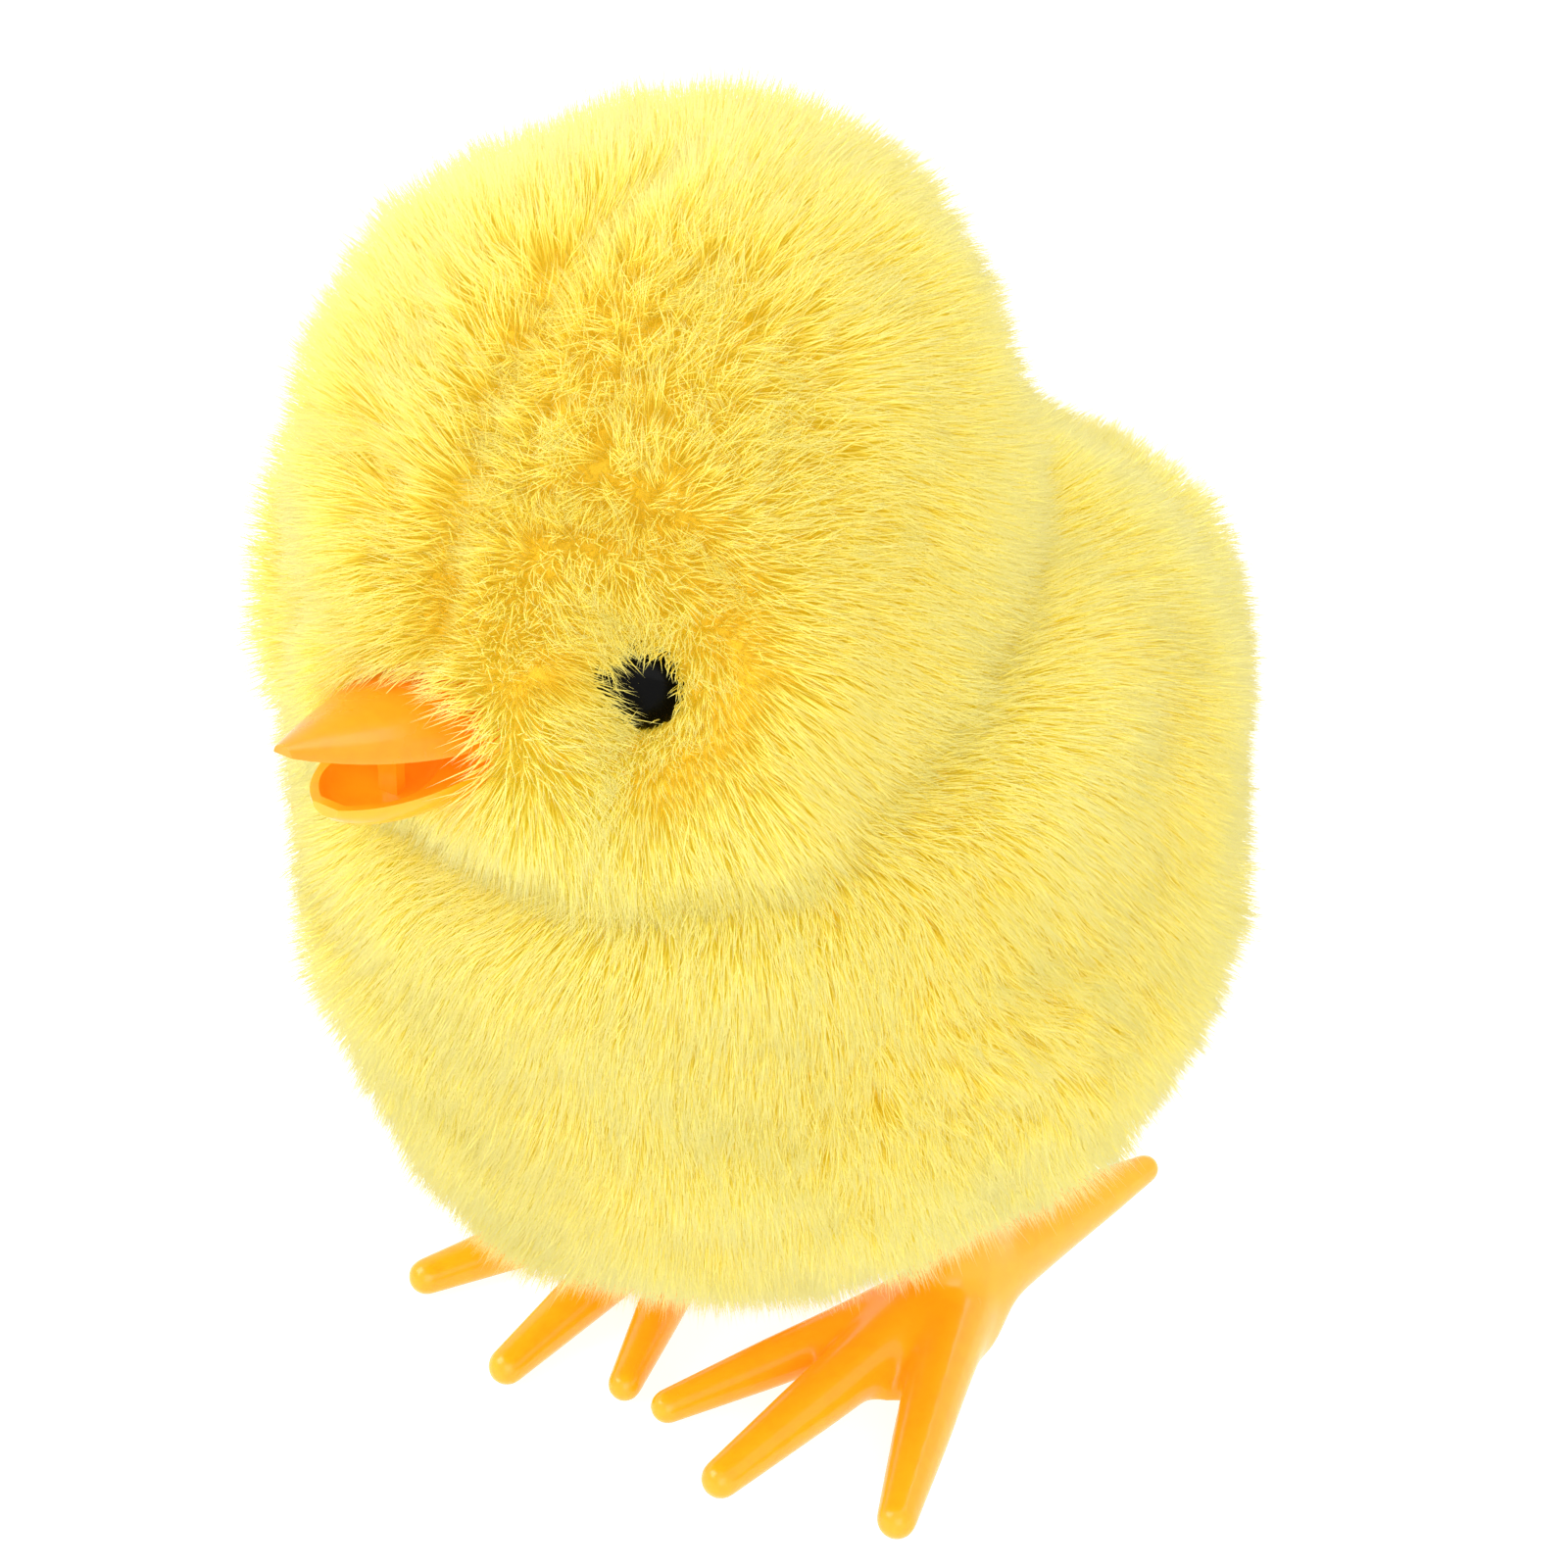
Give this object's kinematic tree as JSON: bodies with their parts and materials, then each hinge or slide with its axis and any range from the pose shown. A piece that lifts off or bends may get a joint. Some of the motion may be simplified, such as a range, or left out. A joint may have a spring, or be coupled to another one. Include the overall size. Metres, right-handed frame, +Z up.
{
  "type": "wind-up hopping chick toy",
  "caption": "Plush wind-up chick that hops: furry cover over a plastic shell, moulded beak and feet, and a spring motor with a side key that rocks the legs.",
  "frame": {"origin": "on the ground, on the toy's middle plane, between the two feet", "axes": "+Z up, the chick faces -Y, +X is its left side, and every motor shaft runs along X"},
  "size_m": [0.0724, 0.0777, 0.0919],
  "materials": {
    "yellow_plush": "long pile, satin",
    "shell_plastic": "satin moulded",
    "orange_plastic": "glossy moulded",
    "black_bead": "glossy",
    "motor_plastic": "satin moulded",
    "gear_plastic": "satin moulded",
    "steel": "drawn and cut",
    "spring_steel": "blued, rolled",
    "zinc_screw": "zinc plated"
  },
  "bodies": {
    "body": {"plush_cover": "yellow_plush", "body_shell_left": "shell_plastic", "body_shell_right": "shell_plastic", "shell_screws": "zinc_screw", "base_plate": "orange_plastic", "base_screws": "zinc_screw", "beak_upper": "orange_plastic", "beak_lower": "orange_plastic", "left_eye": "black_bead", "right_eye": "black_bead", "eye_washers": "steel", "case_left": "motor_plastic", "case_right": "motor_plastic", "case_screws": "zinc_screw", "motor_screws": "zinc_screw", "mainspring": "spring_steel", "key_collar": "shell_plastic"},
    "main_wheel": {"main_wheel": "gear_plastic", "click_pin": "steel", "click_spring": "spring_steel"},
    "click": {"click": "steel"},
    "winder": {"ratchet_wheel": "steel", "winding_arbor": "steel", "winding_key": "orange_plastic"},
    "second_wheel": {"second_wheel": "gear_plastic", "second_arbor": "steel"},
    "crank_wheel": {"crank_wheel": "gear_plastic", "crank_arbor": "steel", "crank_pin": "steel"},
    "escape_wheel": {"escape_wheel": "gear_plastic", "escape_arbor": "steel"},
    "pallet": {"pallet": "gear_plastic", "pallet_arbor": "steel"},
    "legs": {"left_leg": "orange_plastic", "right_leg": "orange_plastic", "leg_screws": "zinc_screw", "hip_axle": "steel", "rocker_arm": "gear_plastic"}
  },
  "joints": [
    {"name": "main_wheel_turn", "type": "hinge", "parent": "body", "child": "main_wheel", "pos_m": [0, -0.006, 0.0355], "axis": [1, 0, 0], "continuous": true},
    {"name": "winding", "type": "hinge", "parent": "main_wheel", "child": "winder", "pos_m": [0, -0.006, 0.0355], "axis": [1, 0, 0], "continuous": true, "deforming": ["mainspring"]},
    {"name": "click_lift", "type": "hinge", "parent": "main_wheel", "child": "click", "pos_m": [0, -0.0024, 0.03979], "axis": [1, 0, 0], "range_deg": [0, 12], "stiffness_Nm_per_rad": 0.00002, "springref_deg": -5.73, "deforming": ["click_spring"]},
    {"name": "second_wheel_turn", "type": "hinge", "parent": "body", "child": "second_wheel", "pos_m": [0, 0.00229, 0.04109], "axis": [1, 0, 0], "continuous": true},
    {"name": "crank_wheel_turn", "type": "hinge", "parent": "body", "child": "crank_wheel", "pos_m": [0, 0.006, 0.034], "axis": [1, 0, 0], "continuous": true},
    {"name": "escape_wheel_turn", "type": "hinge", "parent": "body", "child": "escape_wheel", "pos_m": [0, 0.01114, 0.04013], "axis": [1, 0, 0], "continuous": true},
    {"name": "pallet_rock", "type": "hinge", "parent": "body", "child": "pallet", "pos_m": [0, 0.00957, 0.04644], "axis": [1, 0, 0], "range_deg": [-4, 4]},
    {"name": "legs_rock", "type": "hinge", "parent": "body", "child": "legs", "pos_m": [0, 0, 0.026], "axis": [1, 0, 0], "range_deg": [-9, 9]}
  ],
  "couplings": [
    {"joint": "second_wheel_turn", "follows": "main_wheel_turn", "ratio": -4},
    {"joint": "crank_wheel_turn", "follows": "main_wheel_turn", "ratio": 12},
    {"joint": "escape_wheel_turn", "follows": "main_wheel_turn", "ratio": -36}
  ]
}
